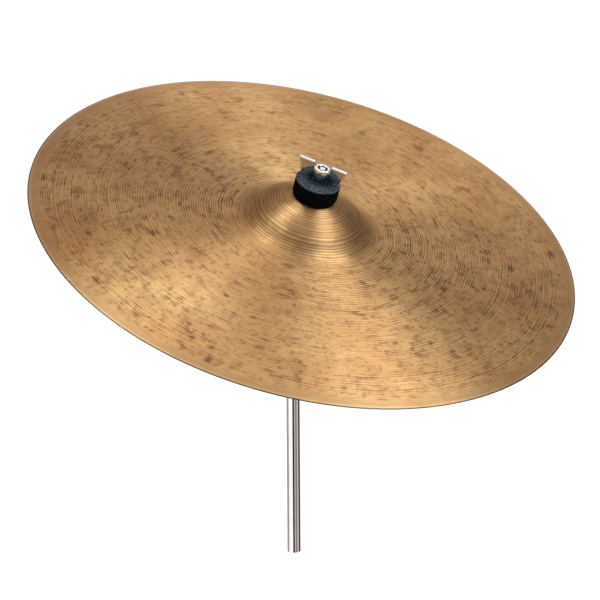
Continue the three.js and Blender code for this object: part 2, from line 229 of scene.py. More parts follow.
# Both wing nuts are M8. Each wing is a web that thins towards its foot, with a thicker rim round it.
NUT_BORE = ROD_RADIUS + GAP
NUT_BASE_RADIUS = 6.3
NUT_WAIST_RADIUS = 6.9
HEX_INSCRIBED = 6.5
HEX_CORNER = 7.45
HEX_HEIGHT = 2.3
WING_ROOT = ROD_RADIUS + 1
WING_INNER = 7.7
WING_FOOT_HEIGHT = 1.2
WING_RIM_WIDTH = 2.0
WING_RIM_THICKNESS = 3.8
WEB_FOOT_THICKNESS = 1.2
WEB_TOP_THICKNESS = 3.6


def nut_barrel(name, boss, place):
    """The wing nut's round barrel with the hexagon boss on top."""
    hex_foot = boss - HEX_HEIGHT
    waist = (NUT_WAIST_RADIUS, hex_foot - 0.4)
    barrel = rounded([(NUT_BORE, 0), (NUT_BASE_RADIUS, 0), waist], 0.5, closed=False)
    hexagon = [(HEX_INSCRIBED, hex_foot), (HEX_INSCRIBED, boss - 0.3), (HEX_INSCRIBED - 0.25, boss)]
    top = [(NUT_BORE + 0.4, boss), (NUT_BORE, boss - 0.4)]

    def flats(spread, height, angles):
        turn = (angles + math.pi / 6) % (math.pi / 3) - math.pi / 6
        on_hexagon = height >= hex_foot and spread[0] > HEX_INSCRIBED - 0.3
        return np.minimum(spread / np.cos(turn), HEX_CORNER) if on_hexagon else spread

    return turned(name, barrel + hexagon + top, place, warp=flats)


def add_plate(made, outline, thickness):
    """Adds to a bmesh a plate with rounded edges. The outline is its (x, z) corners, and thickness is a
    function that gives how thick it is at a height."""
    plate = bmesh.new()
    front, back = (
        [plate.verts.new((x * MM, facing * MM * thickness(z), z * MM)) for x, z in outline]
        for facing in (-0.5, 0.5)
    )
    plate.faces.new(front)
    plate.faces.new(back[::-1])
    for i in range(len(outline)):
        j = (i + 1) % len(outline)
        plate.faces.new((front[j], front[i], back[i], back[j]))
    bmesh.ops.recalc_face_normals(plate, faces=plate.faces)
    bmesh.ops.bevel(plate, geom=plate.edges, offset=1.0 * MM, segments=4, profile=0.5, affect="EDGES",
                    clamp_overlap=True)
    mesh = bpy.data.meshes.new("plate")
    plate.to_mesh(mesh)
    plate.free()
    made.from_mesh(mesh)
    bpy.data.meshes.remove(mesh)


def wing_nut(name, boss, wing_top, wing_outer, wing_foot, place):
    """A cast wing nut standing on z = 0 with its wings along X. boss and wing_top are heights.
    wing_outer and wing_foot are how far a wing reaches at its top and at its foot."""
    piece = nut_barrel(name, boss, place)
    foot, rim = WING_FOOT_HEIGHT, WING_RIM_WIDTH
    slope = (wing_outer - wing_foot) / (wing_top - foot)
    web = [(WING_ROOT, foot), (wing_foot, foot), (wing_outer, wing_top), (WING_INNER, wing_top),
           (WING_INNER - 0.5, boss - 1.2), (WING_ROOT, boss - 1.6)]
    outer_rim = [(wing_foot - rim, foot), (wing_foot, foot), (wing_outer, wing_top),
                 (wing_outer - rim, wing_top)]
    top_rim = [(WING_INNER, wing_top - rim), (wing_outer - rim * slope, wing_top - rim),
               (wing_outer, wing_top), (WING_INNER, wing_top)]

    def web_thickness(height):
        more = WEB_TOP_THICKNESS - WEB_FOOT_THICKNESS
        return WEB_FOOT_THICKNESS + more * (height - foot) / (wing_top - foot)

    def rim_thickness(height):
        return WING_RIM_THICKNESS

    plates = ((web, web_thickness), (outer_rim, rim_thickness), (top_rim, rim_thickness))
    made = bmesh.new()
    made.from_mesh(piece.data)
    for side in (1, -1):
        for outline, thickness in plates:
            add_plate(made, [(side * x, z) for x, z in outline], thickness)
    made.to_mesh(piece.data)
    made.free()
    return remeshed(piece, voxel=0.22, smoothing=5)


def finished(piece, body, node, look):
    """Gives a piece its material and its place in the frame."""
    piece.data.materials.clear()
    piece.data.materials.append(look)
    if body:
        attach(piece, body)
    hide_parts(node)
    return piece


# ---- Materials ----
class Shade:
    """A Principled material, and short ways to add the nodes that the finishes use."""

    def __init__(self, name, **sockets):
        self.material = bpy.data.materials.new(name)
        self.material.use_nodes = True
        self.tree = self.material.node_tree
        self.shader = self.tree.nodes["Principled BSDF"]
        for socket, value in sockets.items():
            label = socket.replace("_", " ").title().replace("Ior", "IOR")
            self.shader.inputs[label].default_value = value

    def node(self, kind, **settings):
        made = self.tree.nodes.new(f"ShaderNode{kind}")
        for key, value in settings.items():
            setattr(made, key, value)
        return made

    def feed(self, socket, value):
        if isinstance(value, bpy.types.NodeSocket):
            self.tree.links.new(value, socket)
        else:
            socket.default_value = value

    def math(self, operation, *values):
        made = self.node("Math", operation=operation)
        for socket, value in zip(made.inputs, values):
            self.feed(socket, value)
        return made.outputs[0]

    def times(self, first, second):
        return self.math("MULTIPLY", first, second)

    def plus(self, first, second):
        return self.math("ADD", first, second)

    def scaled(self, value, factor, offset):
        """value times factor, plus offset."""
        return self.math("MULTIPLY_ADD", value, factor, offset)

    def position(self):
        """The place on the piece in millimetres, in the piece's own frame."""
        made = self.node("VectorMath", operation="SCALE")
        self.feed(made.inputs[0], self.node("TexCoord").outputs["Object"])
        made.inputs["Scale"].default_value = 1 / MM
        return made.outputs[0]

    def about_x(self, vector, angle):
        """The vector turned about X."""
        made = self.node("VectorRotate", rotation_type="X_AXIS")
        self.feed(made.inputs["Vector"], vector)
        made.inputs["Angle"].default_value = angle
        return made.outputs[0]

    def on_rod(self, origin):
        """The place in the rod's frame in millimetres, on a piece whose mesh leans but whose object,
        at the origin given, doesn't."""
        made = self.node("VectorMath", operation="SUBTRACT")
        self.feed(made.inputs[0], self.position())
        made.inputs[1].default_value = (ROD.to_translation() - origin) / MM
        return self.about_x(made.outputs[0], -LEAN)

    def xyz(self, vector):
        made = self.node("SeparateXYZ")
        self.feed(made.inputs[0], vector)
        return made.outputs

    def from_axis(self, x, y):
        """The distance from the Z axis."""
        return self.math("SQRT", self.plus(self.times(x, x), self.times(y, y)))

    def vector(self, x, y, z):
        made = self.node("CombineXYZ")
        for socket, value in zip(made.inputs, (x, y, z)):
            self.feed(socket, value)
        return made.outputs[0]

    def noise(self, vector, size, detail=2.0, roughness=0.5, distortion=0.0):
        """Noise from 0 to 1, whose lumps are about size millimetres across."""
        made = self.node("TexNoise")
        self.feed(made.inputs["Vector"], vector)
        made.inputs["Scale"].default_value = 1 / size
        made.inputs["Detail"].default_value = detail
        made.inputs["Roughness"].default_value = roughness
        made.inputs["Distortion"].default_value = distortion
        return made.outputs[0]

    def ramp(self, value, low, high, start=0.0, end=1.0):
        """Runs smoothly from start to end as value goes from low to high."""
        made = self.node("MapRange", interpolation_type="SMOOTHSTEP")
        for socket, number in zip(made.inputs, (value, low, high, start, end)):
            self.feed(socket, number)
        return made.outputs[0]

    def blend(self, amount, first, second):
        """From the first colour to the second as amount goes from 0 to 1."""
        made = self.node("Mix", data_type="RGBA")
        self.feed(made.inputs[0], amount)
        for socket, colour in ((made.inputs[6], first), (made.inputs[7], second)):
            self.feed(socket, (*colour, 1) if isinstance(colour, tuple) else colour)
        return made.outputs[2]

    def bump(self, height, depth):
        """Height from 0 to 1 stands for depth millimetres."""
        made = self.node("Bump")
        made.inputs["Distance"].default_value = depth * MM
        self.feed(made.inputs["Height"], height)
        self.feed(self.shader.inputs["Normal"], made.outputs[0])

    def colour(self, value):
        self.feed(self.shader.inputs["Base Color"], value)

    def roughness(self, value):
        self.feed(self.shader.inputs["Roughness"], value)


def bronze():
    """Lathed and hammered bronze: turning lines all round, and dark marks where the hammer left dips
    that the lathe passed over. The lines cut the marks into short strokes, which lie in loose groups."""
    s = Shade("bronze", metallic=1.0, anisotropic=0.82)
    place = s.on_rod(ROD.to_translation())
    x, y, z = s.xyz(place)
    radius = s.from_axis(x, y)
    # The turning lines run round the rod, so the shine is drawn out along the radius.
    outward = s.node("VectorTransform", vector_type="VECTOR", convert_from="OBJECT", convert_to="WORLD")
    s.feed(outward.inputs[0], s.about_x(s.vector(x, y, 0.0), LEAN))
    s.feed(s.shader.inputs["Tangent"], outward.outputs[0])

    # Each line has a valley, finer scratches, and its own changes of strength round the cymbal.
    spacing = 2.3
    wandering = s.scaled(s.noise(place, 40, detail=1.0), 1.8, radius)
    sway = s.noise(s.vector(wandering, 0.0, 0.0), 8, detail=1.0)
    turn = s.scaled(sway, 2.0, s.math("DIVIDE", wandering, spacing))
    ring = s.math("FLOOR", turn)
    valley = s.math("ABSOLUTE", s.scaled(s.math("FRACT", turn), 2.0, -1.0))
    scratch = s.noise(s.vector(wandering, 0.0, 0.0), 0.8, detail=2.0, roughness=0.6)
    own = s.noise(s.vector(x, y, s.times(ring, 71.0)), 15, detail=1.5)
    near_bell = s.ramp(radius, 175, 75)
    line = s.scaled(valley, 0.5, s.times(scratch, 0.5))
    dark_line = s.times(s.ramp(line, 0.42, 0.75), s.scaled(s.ramp(own, 0.35, 0.65), 0.7, 0.3))
    dark_line = s.times(dark_line, s.scaled(near_bell, 0.38, 0.34))
    light_line = s.times(s.ramp(line, 0.36, 0.22), s.ramp(own, 0.62, 0.42))
    light_line = s.times(light_line, s.scaled(near_bell, 0.4, 0.3))

    inside_edge = s.ramp(radius, 246, 240)
    on_bow = s.times(s.ramp(radius, 48, 80), inside_edge)

    def marks(size, low, high, shift):
        """Dips about size millimetres across, drawn out along the lines."""
        dips = s.noise(s.vector(x, y, s.plus(z, shift)), size, detail=1.5)
        field = s.plus(s.times(dips, 0.68), s.times(own, 0.32))
        return s.ramp(s.scaled(valley, 0.13, field), low, high)

    groups = s.scaled(s.ramp(s.noise(place, 50, detail=1.0), 0.35, 0.62), 0.65, 0.35)
    small = s.times(marks(8, 0.62, 0.71, 40.0), groups)
    specks = s.times(marks(4.5, 0.58, 0.70, 140.0), 0.45)
    large = marks(15, 0.655, 0.76, 90.0)
    mark = s.math("MAXIMUM", s.math("MAXIMUM", s.times(small, 0.8), large), specks)
    mark = s.times(mark, on_bow)

    patina = s.times(s.ramp(s.noise(place, 24, detail=4.0, roughness=0.62), 0.46, 0.68), inside_edge)
    stain = s.times(s.ramp(s.noise(place, 26, detail=3.0, distortion=0.5), 0.6, 0.72),
                    s.ramp(radius, 140, 200))
    stain = s.times(stain, inside_edge)
    # The edge: a darker band, then a light line, then the dark rim.
    edge_band = s.ramp(radius, 240, 247, 0.0, 0.35)
    light_rim = s.times(s.ramp(radius, 251.0, 251.6), s.ramp(radius, 252.9, 252.4))
    rim_line = s.ramp(radius, 252.9, 253.4)

    clouds = s.ramp(s.noise(place, 80, detail=3.0), 0.3, 0.7)
    tone = s.blend(clouds, (0.60, 0.305, 0.122), (0.73, 0.42, 0.178))
    layers = [
        (s.times(patina, 0.34), (0.35, 0.145, 0.077)),
        # Painted shade: the bell, inside a radius of 75 mm, is darkened towards a deep brown.
        (s.ramp(radius, 75, 50, 0.0, 0.22), (0.30, 0.155, 0.075)),
        (edge_band, (0.40, 0.215, 0.12)),
        (light_line, (0.90, 0.62, 0.33)),
        (dark_line, (0.20, 0.095, 0.04)),
        (s.times(mark, 0.72), (0.165, 0.06, 0.028)),
        (s.times(stain, 0.4), (0.2, 0.12, 0.06)),
        (s.times(light_rim, 0.3), (0.90, 0.66, 0.42)),
        (s.times(rim_line, 0.8), (0.13, 0.08, 0.04)),
    ]
    for amount, colour in layers:
        tone = s.blend(amount, tone, colour)
    s.colour(tone)

    s.roughness(s.plus(s.scaled(mark, 0.10, 0.415), s.times(s.noise(place, 12, detail=2.0), 0.1)))
    height = s.plus(s.times(scratch, 0.5), s.times(valley, -0.5))
    height = s.scaled(s.noise(place, 11, detail=2.0), 2.2, height)
    s.bump(s.math("SUBTRACT", height, s.times(mark, 0.5)), 0.09)
    return s.material


def felt(top):
    """Pressed charcoal wool: dark and matted, with paler fibres worked into it. From the height given
    up, its top is painted lighter, with more of the pale fibres: painted light from above. Inside a
    radius of 17 mm this fades, as painted shade of the nut."""
    s = Shade("felt", roughness=0.95, specular_ior_level=0.0)
    place = s.on_rod(Vector((0, 0, 0)))
    x, y, z = s.xyz(place)
    # Painted light: from the height given up, the felt's top is made lighter than its black side.
    painted_top_light = s.ramp(z, top - 0.7, top - 0.1) if top else 0.0
    mat = s.noise(place, 2.2, detail=4.0, roughness=0.65, distortion=0.8)
    fibre = s.noise(place, 0.8, detail=3.0, roughness=0.7, distortion=1.5)
    radius = s.from_axis(x, y)
    # Painted shade: the painted light fades towards the nut, down to 0.3 inside 9 mm.
    painted_top_light = s.times(painted_top_light, s.ramp(radius, 9, 17, 0.3, 1.0))
    tone = s.blend(s.ramp(mat, 0.35, 0.68), (0.0010, 0.0010, 0.0013), (0.006, 0.006, 0.0075))
    # The lighter colour on the top is painted light.
    tone = s.blend(s.times(s.ramp(mat, 0.3, 0.62), painted_top_light), tone, (0.068, 0.078, 0.09))
    # Pale fibres are real, but they are shown mostly on the top, where the light is painted.
    fibre_and_painted_light = s.times(s.ramp(fibre, 0.52, 0.66), s.scaled(painted_top_light, 0.75, 0.07))
    tone = s.blend(fibre_and_painted_light, tone, (0.26, 0.30, 0.34))
    s.colour(tone)
    s.bump(s.plus(mat, s.times(fibre, 0.5)), 0.6)
    return s.material


def chrome():
    """Bright chrome plate with faint polishing marks and finger haze."""
    s = Shade("chrome", metallic=1.0)
    place = s.position()
    haze = s.noise(place, 14, detail=3.0)
    s.colour(s.blend(s.ramp(haze, 0.3, 0.7), (0.86, 0.86, 0.87), (0.78, 0.77, 0.76)))
    rubbed = s.scaled(s.noise(place, 1.1, detail=3.0), 0.3, haze)
    s.roughness(s.ramp(rubbed, 0.4, 0.9, 0.03, 0.09))
    s.bump(s.noise(place, 5, detail=1.0), 0.015)
    return s.material


def cast_metal():
    """Chrome over a die casting: a little uneven, darker and duller in patches."""
    s = Shade("cast_metal", metallic=1.0)
    place = s.position()
    skin = s.noise(place, 2.5, detail=4.0, roughness=0.6)
    s.colour(s.blend(s.ramp(skin, 0.35, 0.7), (0.66, 0.66, 0.67), (0.5, 0.5, 0.51)))
    s.roughness(s.ramp(skin, 0.3, 0.75, 0.16, 0.34))
    s.bump(skin, 0.05)
    return s.material


def zinc():
    """Bright zinc plated steel, faintly blue and clouded."""
    s = Shade("zinc", metallic=1.0)
    place = s.position()
    cloud = s.noise(place, 3.5, detail=4.0, distortion=0.6)
    s.colour(s.blend(s.ramp(cloud, 0.35, 0.65), (0.6, 0.62, 0.65), (0.47, 0.48, 0.49)))
    s.roughness(s.ramp(cloud, 0.3, 0.7, 0.22, 0.4))
    s.bump(s.noise(place, 0.5, detail=2.0), 0.01)
    return s.material


def bolt_steel():
    """Plated steel with a bright faced end; the chamfer and threads round it are painted dark, as
    painted shade.
    """
    s = Shade("bolt_steel", metallic=1.0)
    place = s.position()
    x, y, z = s.xyz(place)
    radius = s.from_axis(x, y)
    cloud = s.noise(place, 3.5, detail=4.0, distortion=0.6)
    bright = s.blend(s.ramp(cloud, 0.35, 0.65), (0.74, 0.76, 0.78), (0.6, 0.61, 0.62))
    # Painted shade: a darker copy of the same steel, used on the chamfer and threads from radius 2.6 mm
    # out.
    painted_dark_thread = s.blend(s.ramp(cloud, 0.35, 0.65), (0.16, 0.16, 0.16), (0.08, 0.08, 0.085))
    s.colour(s.blend(s.ramp(radius, 2.6, 3.0), bright, painted_dark_thread))
    s.roughness(s.ramp(cloud, 0.3, 0.7, 0.16, 0.3))
    s.bump(s.noise(place, 0.5, detail=2.0), 0.01)
    return s.material


def nylon():
    """Black moulded nylon with a fine sparked skin."""
    s = Shade("nylon", specular_ior_level=0.4)
    place = s.position()
    skin = s.noise(place, 0.45, detail=2.0)
    wear = s.noise(place, 6, detail=3.0)
    s.colour(s.blend(s.ramp(wear, 0.4, 0.7), (0.012, 0.012, 0.013), (0.028, 0.028, 0.03)))
    s.roughness(s.ramp(wear, 0.3, 0.7, 0.42, 0.58))
    s.bump(skin, 0.03)
    return s.material


def fibre_board():
    """Pressed brown friction fibre, speckled."""
    s = Shade("fibre")
    place = s.position()
    speck = s.noise(place, 0.5, detail=3.0, roughness=0.7)
    s.colour(s.blend(s.ramp(speck, 0.4, 0.65), (0.09, 0.05, 0.03), (0.24, 0.15, 0.09)))
    s.roughness(s.ramp(speck, 0.3, 0.7, 0.7, 0.9))
    s.bump(speck, 0.05)
    return s.material


# ---- Cymbal ----
def upper_surface():
    """A function that gives the height of the cymbal's top above its rim at each radius. The bow and
    the bell are spheres, joined by a hollow fillet."""
    bow_radius = (CYMBAL_RADIUS ** 2 + BOW_RISE ** 2) / (2 * BOW_RISE)
    bow_centre = BOW_RISE - bow_radius
    bell_centre = CYMBAL_RISE - BELL_RADIUS
    to_bow = bow_radius + BELL_FILLET
    to_bell = BELL_RADIUS + BELL_FILLET
    apart = bell_centre - bow_centre
    along = (to_bow ** 2 - to_bell ** 2 + apart ** 2) / (2 * apart)
    out = math.sqrt(to_bow ** 2 - along ** 2)
    centre = bow_centre + along
    bell_end = out * BELL_RADIUS / to_bell
    bow_start = out * bow_radius / to_bow

    def height(radius):
        bell = bell_centre + np.sqrt(np.maximum(BELL_RADIUS ** 2 - radius ** 2, 0))
        fillet = centre - np.sqrt(np.maximum(BELL_FILLET ** 2 - (radius - out) ** 2, 0))
        bow = bow_centre + np.sqrt(bow_radius ** 2 - radius ** 2)
        return np.where(radius <= bell_end, bell, np.where(radius < bow_start, fillet, bow))

    return height


surface = upper_surface()


def lower_surface(radius):
    step = 0.05
    slope = (surface(radius + step) - surface(radius - step)) / (2 * step)
    sheet = CROWN_THICKNESS + (RIM_THICKNESS - CROWN_THICKNESS) * radius / CYMBAL_RADIUS
    return surface(radius) - sheet * np.hypot(1, slope)


def hammer_dents():
    """Where the hammer fell: shallow dents on rings round the bow, none near the edge. Each is a row of
    x, y, radius, length, width and depth."""
    random = np.random.default_rng(7)
    first, last, ring_spacing, dent_spacing = 78, 240, 11, 17
    dents = []
    for radius in np.arange(first, last, ring_spacing):
        count = int(2 * math.pi * radius / dent_spacing)
        angle = 2 * math.pi * (np.arange(count) + random.uniform(-0.4, 0.4, count)) / count
        at = radius + random.uniform(-5, 5, count)
        long, wide = random.uniform(5, 8.5, count), random.uniform(3, 5, count)
        depth = random.uniform(0.03, 0.13, count)
        dents.append(np.stack([at * np.cos(angle), at * np.sin(angle), at, long, wide, depth], 1))
    return np.concatenate(dents)


def dent_depth(x, y, radius, dents):
    """How deep the dents are at each point of the ring of that radius."""
    reach = 14
    near = dents[np.abs(dents[:, 2] - radius) < reach]
    away_x, away_y = x - near[:, :1], y - near[:, 1:2]
    across, along = near[:, :1] / near[:, 2:3], near[:, 1:2] / near[:, 2:3]
    outward = (away_x * across + away_y * along) / near[:, 4:5]
    sideways = (away_y * across - away_x * along) / near[:, 3:4]
    return (near[:, 5:6] * np.exp(-outward ** 2 - sideways ** 2)).sum(0)


def cymbal():
    around = 384
    angles = np.linspace(0, 2 * math.pi, around, endpoint=False)
    edge = 0.3
    inner, outer = CYMBAL_HOLE + edge, CYMBAL_RADIUS - edge
    # Close rings over the bell and its fillet, and wider ones over the bow.
    top_radii = np.concatenate([np.linspace(inner, 70, 52), np.linspace(71.4, outer, 132)])
    under_radii = np.concatenate([np.linspace(inner, 70, 18), np.linspace(75, outer, 34)])
    dents = hammer_dents()

    def ring(radius, height):
        x, y = radius * np.cos(angles), radius * np.sin(angles)
        dent = dent_depth(x, y, radius, dents)
        return np.stack([x, y, np.full(around, height + RIM_HEIGHT) - dent], 1)

    rings = [ring(radius, float(surface(radius))) for radius in top_radii]
    middle = float(surface(CYMBAL_RADIUS)) - RIM_THICKNESS / 2
    rings += [ring(CYMBAL_RADIUS, middle + 0.15), ring(CYMBAL_RADIUS, middle - 0.15)]
    rings += [ring(radius, float(lower_surface(radius))) for radius in under_radii[::-1]]
    hole_top = float(surface(CYMBAL_HOLE))
    rings += [ring(CYMBAL_HOLE, hole_top - CROWN_THICKNESS + edge), ring(CYMBAL_HOLE, hole_top - edge)]
    # The mesh leans and its object doesn't, so that the object's box fits it closely.
    mesh = grid_mesh("cymbal_bronze", rings, closed=True)
    mesh.transform(ROD.to_3x3().to_4x4())
    piece = new_object("cymbal_bronze", mesh, Matrix.Translation(ROD.to_translation()))
    return finished(piece, "cymbal", "cymbal", bronze())


# ---- Felts ----
FELT_ROUGHNESS = 0.16


def matted(piece, amount):
    """Pushes a felt's surface in and out a little, as matted wool lies."""
    normals = [vertex.normal.copy() for vertex in piece.data.vertices]
    for vertex, normal in zip(piece.data.vertices, normals):
        spot = vertex.co / MM
        coarse = noise.fractal(spot / 3.2, 1.0, 2.0, 4)
        fine = 0.6 * noise.noise(spot * 1.7)
        vertex.co += normal * ((coarse + fine) * amount * MM)


def felt_profile(bottom, top, edge_bottom, edge_top):
    """A closed outline through the corners given, in even steps. It stays clear of the sleeve."""
    inner = SLEEVE_RADIUS + GAP + 0.1
    spacing = 0.7
    corners = [*bottom, *edge_bottom, *edge_top, *reversed(top)]
    outline = []
    for start, end in zip(corners, corners[1:] + corners[:1]):
        steps = max(1, round(math.dist(start, end) / spacing))
        across, up = end[0] - start[0], end[1] - start[1]
        for i in range(steps):
            outline.append((max(inner, start[0] + across * i / steps), start[1] + up * i / steps))
    return outline


def upper_felt():
    """Pressed down under the nut, closed over the washer's rim, crowned round it, and shaped to the
    bell below. It is cut a little off centre."""
    radii = np.linspace(SLEEVE_RADIUS + 0.5, FELT_RADIUS - 1.2, 14)
    bottom = [(r, RIM_HEIGHT + float(surface(r)) + 0.2) for r in radii]
    crown, crown_radius, fall = UPPER_FELT_TOP + 2.4, 9, 1.4
    under_nut = UPPER_FELT_TOP - 0.1
    top = [(SLEEVE_RADIUS + 0.5, under_nut), (6.5, under_nut), (6.65, crown)]
    edge = UPPER_FELT_TOP - 0.2
    top += [(r, crown - (crown - edge) * ((r - crown_radius) / (FELT_RADIUS - crown_radius)) ** fall)
            for r in np.linspace(crown_radius, FELT_RADIUS, 8)]
    low = bottom[-1][1]
    edge_bottom = [(FELT_RADIUS - 0.4, low + 0.9), (FELT_RADIUS + 0.5, low + 3.2)]
    edge_top = [(FELT_RADIUS + 0.7, edge - 3), (FELT_RADIUS + 0.6, edge - 0.5)]

    def off_centre(spread, height, angles):
        """Moves the outside sideways, and leaves the bore where it is."""
        offset, towards = 0.7, math.radians(143)
        share = min(1, max(0, (spread[0] - 12) / 6))
        return spread + offset * share * np.cos(angles - towards)

    profile = felt_profile(bottom, top, edge_bottom, edge_top)
    piece = turned("upper_felt_wool", profile, ROD, segments=180, warp=off_centre)
    matted(piece, FELT_ROUGHNESS)
    finished(piece, None, "upper_felt", felt(edge))
    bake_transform(piece)
    return piece


LOWER_FELT_TOP = RIM_HEIGHT + float(lower_surface(CYMBAL_HOLE)) - GAP
LOWER_FELT_BOTTOM = LOWER_FELT_TOP - LOWER_FELT_HEIGHT


def lower_felt():
    """Shaped to the bell above it, and flat on its washer."""
    radii = np.linspace(SLEEVE_RADIUS + 0.5, FELT_RADIUS - 1.0, 14)
    top = [(r, RIM_HEIGHT + float(lower_surface(r)) - GAP) for r in radii]
    bottom = [(r, LOWER_FELT_BOTTOM + 0.1) for r in radii]
    edge_bottom = [(FELT_RADIUS - 0.2, LOWER_FELT_BOTTOM + 0.9), (FELT_RADIUS, LOWER_FELT_BOTTOM + 3)]
    edge_top = [(FELT_RADIUS, top[-1][1] - 3), (FELT_RADIUS - 0.3, top[-1][1] - 0.8)]
    profile = felt_profile(bottom, top, edge_bottom, edge_top)
    piece = turned("lower_felt_wool", profile, ROD, segments=180)
    matted(piece, FELT_ROUGHNESS)
    finished(piece, None, "lower_felt", felt(None))
    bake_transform(piece)
    return piece


# ---- What is on the rod ----
def rod_parts():
    body = "tilter_head"
    thread = threaded("rod_thread", ROD_RADIUS, ROD_FOOT, ROD_TIP, 1.35, ROD)
    finished(thread, body, "cymbal_rod", bolt_steel())

    bore = ROD_RADIUS + GAP
    sleeve_bottom = LOWER_FELT_BOTTOM - SEAT_WASHER_SHEET - GAP
    sleeve = rounded([
        (bore, sleeve_bottom), (SLEEVE_RADIUS, sleeve_bottom),
        (SLEEVE_RADIUS, UPPER_FELT_TOP - 2), (bore, UPPER_FELT_TOP - 2),
    ], 0.25)
    piece = turned("sleeve", sleeve, ROD, segments=64)
    finished(piece, body, "rod_sleeve", NYLON)

    top = LOWER_FELT_BOTTOM - GAP
    under = top - SEAT_WASHER_SHEET
    hole, rim, lip = SLEEVE_RADIUS + GAP, SEAT_WASHER_RADIUS, top - 4
    inside = rim - SEAT_WASHER_SHEET
    cup = rounded([
        (hole, under), (inside - 0.4, under), (inside, lip), (rim, lip), (rim, top), (hole, top),
    ], 0.7)
    piece = turned("washer_cup", cup, ROD, segments=128)
    finished(piece, body, "seat_washer", ZINC)

    seat_top = under - GAP
    hub, flange, seat_foot, flange_foot = 8.5, 16.5, seat_top - 9, seat_top - 2.6
    seat = rounded([
        (bore, seat_foot), (hub, seat_foot), (hub, flange_foot - 0.8), (hub + 1, flange_foot),
        (flange, flange_foot), (flange, seat_top), (bore, seat_top),
    ], 0.5)
    flute_count, flute_depth = 12, 0.45

    def flutes(spread, height, angles):
        grip = (hub - 0.6 < spread[0] < hub + 0.1) * (height < seat_top - 3)
        return spread - grip * flute_depth * np.maximum(0, np.cos(flute_count * angles)) ** 2

    piece = turned("seat", seat, ROD, segments=192, warp=flutes)
    finished(piece, body, "cymbal_seat", NYLON)
    piece = softened("rod_lock_nut", ROD, voxel=0.16, smoothing=3)
    finished(piece, body, "rod_lock_nut", ZINC)
    piece = softened("rod_lock_washer", ROD, voxel=0.14, smoothing=2)
    finished(piece, body, "rod_lock_washer", ZINC)
    piece = softened("tilter_head", HEAD, voxel=0.3, smoothing=6)
    finished(piece, body, "tilter_head", CAST)


def top_nut():
    low = UPPER_FELT_TOP + GAP
    thickness = 1.2
    bore, rim, high = ROD_RADIUS + 0.6, 8.2, low + thickness
    washer = rounded([(bore, low), (rim, low), (rim, low + 0.8), (5.7, high), (bore, high)], 0.3)
    piece = turned("pressing_washer", washer, ROD, segments=128)
    finished(piece, "nut_washer", "nut_washer", CHROME)
    place = (ROD @ Matrix.Rotation(WING_NUT_TURN, 4, "Z")
             @ Matrix.Translation((0, 0, (low + thickness + GAP) * MM)))
    nut = wing_nut("top_wing_nut", boss=12.2, wing_top=16.5, wing_outer=23.3, wing_foot=18.5,
                   place=place)
    finished(nut, "wing_nut", "wing_nut", CHROME)


# ---- Tilter and tube. Faces are measured along the bolt from the tilter's middle ----
DISC_FACES = (4.5, 5.7)
CLAMP_WASHER_FACES = (14.3, 15.9)
SPRING_WASHER_FACES = (16.2, 18.4)


def tilter():
    body = "stand_tube"
    piece = softened("tilter_base", AT_PIVOT, voxel=0.3, smoothing=6)
    finished(piece, body, "tilter_base", CAST)
    near, far = DISC_FACES
    disc = rounded([(5, near), (13, near), (13, far), (5, far)], 0.15)
    piece = turned("fibre_disc", disc, BOLT, segments=128)
    finished(piece, body, "friction_disc", FIBRE)
    piece = softened("pivot_bolt", BOLT, voxel=0.2, smoothing=4)
    finished(piece, body, "pivot_bolt", ZINC)

    bore = ROD_RADIUS + 0.4
    near, far = CLAMP_WASHER_FACES
    flat = rounded([(bore, near), (9.5, near), (9.5, far), (bore, far)], 0.3)
    piece = turned("flat_washer", flat, BOLT, segments=96)
    finished(piece, "tilter_washers", "clamp_washer", ZINC)
    near, far = SPRING_WASHER_FACES
    sheet = 1.1
    cone = rounded([(bore, far - sheet), (8, near), (8, near + sheet), (bore, far)], 0.3)
    piece = turned("cone_washer", cone, BOLT, segments=96)
    finished(piece, "tilter_washers", "spring_washer", ZINC)
    place = (AT_PIVOT @ Matrix.Rotation(CLAMP_NUT_TURN, 4, "X") @ Matrix.Rotation(math.pi / 2, 4, "Y")
             @ Matrix.Translation((0, 0, (far + GAP) * MM)))
    nut = wing_nut("clamp_nut", boss=12, wing_top=15.5, wing_outer=21, wing_foot=15.5, place=place)
    finished(nut, "tilter_wing_nut", "clamp_wing_nut", CHROME)


def tube():
    body = "stand_tube"
    inner = TUBE_RADIUS - TUBE_WALL
    wall = rounded([(inner, 0), (TUBE_RADIUS, 0), (TUBE_RADIUS, TUBE_TOP), (inner, TUBE_TOP)], 0.35)
    piece = turned("chrome_tube", wall, TUBE, segments=128)
    finished(piece, body, "upper_tube", CHROME)
    reach, radius, below_top = TUBE_RADIUS + 0.4, 1.5, 10
    pin = rounded([(0, -reach), (radius, -reach), (radius, reach), (0, reach)], 0.3, closed=False)
    middle = Matrix.Translation((0, 0, (TUBE_TOP - below_top) * MM))
    across = middle @ Matrix.Rotation(math.pi / 2, 4, "X")
    piece = turned("cross_pin", pin[1:-1], across, segments=48, closed=False)
    finished(piece, body, "tube_pin", ZINC)


CHROME, CAST, ZINC, NYLON, FIBRE = chrome(), cast_metal(), zinc(), nylon(), fibre_board()
cymbal()
upper_felt()
lower_felt()
rod_parts()
top_nut()
tilter()
tube()


